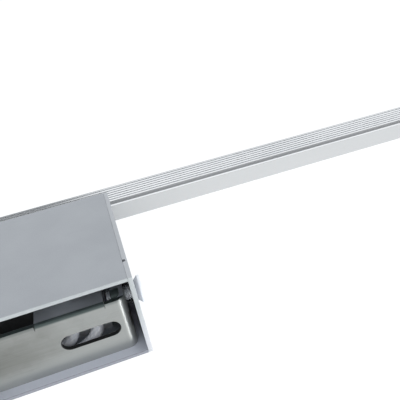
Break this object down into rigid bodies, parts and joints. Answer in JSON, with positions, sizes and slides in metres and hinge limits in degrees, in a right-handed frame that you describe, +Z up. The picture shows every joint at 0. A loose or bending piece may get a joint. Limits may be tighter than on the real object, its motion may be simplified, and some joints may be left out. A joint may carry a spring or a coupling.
{
  "type": "wall-mounted light bar",
  "caption": "Wall-mounted LED light bar: a slim ribbed aluminium profile across the front of a folded sheet-metal box, hung on a slotted wall bracket by a screw in each end.",
  "frame": {"origin": "on the wall plane, midway between the centres of the bracket's two wall slots", "axes": "+X along the bar, +Y from the wall into the room, +Z up, towards the bar's ribs"},
  "size_m": [0.5, 0.0724, 0.032],
  "materials": {
    "housing_paint": "satin silver-grey paint",
    "galvanised_steel": "galvanised, slightly matt",
    "tray_steel": "galvanised",
    "black_rubber": "matt",
    "clinch_zinc": "dull zinc",
    "zinc_plate": "bright bluish zinc",
    "ring_nylon": "natural nylon",
    "driver_plastic": "fine spark texture",
    "circuit_green": "solder mask",
    "transformer_tape": "taped winding on a dark core",
    "capacitor_sleeve": "shrunk sleeve",
    "choke_copper": "enamelled copper",
    "block_nylon": "grey nylon",
    "brass": "bright brass",
    "tinned_copper": "tinned",
    "grey_insulation": "soft insulation",
    "glass_sleeve": "woven glass fibre, silicone coated",
    "red_insulation": "soft insulation",
    "black_insulation": "soft insulation",
    "anodised_aluminium": "extruded, clear anodised",
    "adhesive_tape": "adhesive",
    "board_white": "white solder mask",
    "phosphor": "phosphor in a white frame",
    "opal_plastic": "opal",
    "cap_plastic": "satin grey"
  },
  "bodies": {
    "fixture": {"housing_shell": "housing_paint", "left_end_plate": "housing_paint", "right_end_plate": "housing_paint", "wall_bracket": "galvanised_steel", "cable_grommet": "black_rubber", "left_clinch_nut": "clinch_zinc", "right_clinch_nut": "clinch_zinc", "inner_tray": "tray_steel", "driver_case": "driver_plastic", "driver_lid": "driver_plastic", "driver_board": "circuit_green", "driver_transformer": "transformer_tape", "driver_capacitors": "capacitor_sleeve", "driver_choke": "choke_copper", "driver_screws": "zinc_plate", "terminal_block": "block_nylon", "terminal_sleeves": "brass", "terminal_screws": "zinc_plate", "block_screw": "zinc_plate", "earth_screw": "brass", "earth_washer": "zinc_plate", "earth_tag": "tinned_copper", "live_lead": "grey_insulation", "neutral_lead": "grey_insulation", "lead_sleeves": "glass_sleeve", "led_lead_plus": "red_insulation", "led_lead_minus": "black_insulation", "wire_bush": "black_rubber", "bar_profile": "anodised_aluminium", "bar_screws": "zinc_plate", "bar_washers": "zinc_plate", "slot_nuts": "zinc_plate", "board_tape": "adhesive_tape", "led_board": "board_white", "led_emitters": "phosphor", "diffuser": "opal_plastic", "left_end_cap": "cap_plastic", "right_end_cap": "cap_plastic"},
    "right_ring": {"right_screw_ring": "ring_nylon"},
    "right_screw": {"right_side_screw": "zinc_plate"},
    "left_ring": {"left_screw_ring": "ring_nylon"},
    "left_screw": {"left_side_screw": "zinc_plate"}
  },
  "joints": [
    {"name": "right_screw_travel", "type": "slide", "parent": "fixture", "child": "right_ring", "axis": [1, 0, 0], "range_m": [0, 0.0072]},
    {"name": "right_screw_turn", "type": "hinge", "parent": "right_ring", "child": "right_screw", "pos_m": [0.07, 0.0134, 0.0039], "axis": [1, 0, 0], "range_deg": [0, 3240]},
    {"name": "left_screw_travel", "type": "slide", "parent": "fixture", "child": "left_ring", "axis": [-1, 0, 0], "range_m": [0, 0.0072]},
    {"name": "left_screw_turn", "type": "hinge", "parent": "left_ring", "child": "left_screw", "pos_m": [-0.07, 0.0134, 0.0039], "axis": [-1, 0, 0], "range_deg": [0, 3240]}
  ],
  "couplings": [
    {"joint": "right_screw_turn", "follows": "right_screw_travel", "rad_per_m": 7853.9},
    {"joint": "left_screw_turn", "follows": "left_screw_travel", "rad_per_m": 7853.9}
  ]
}
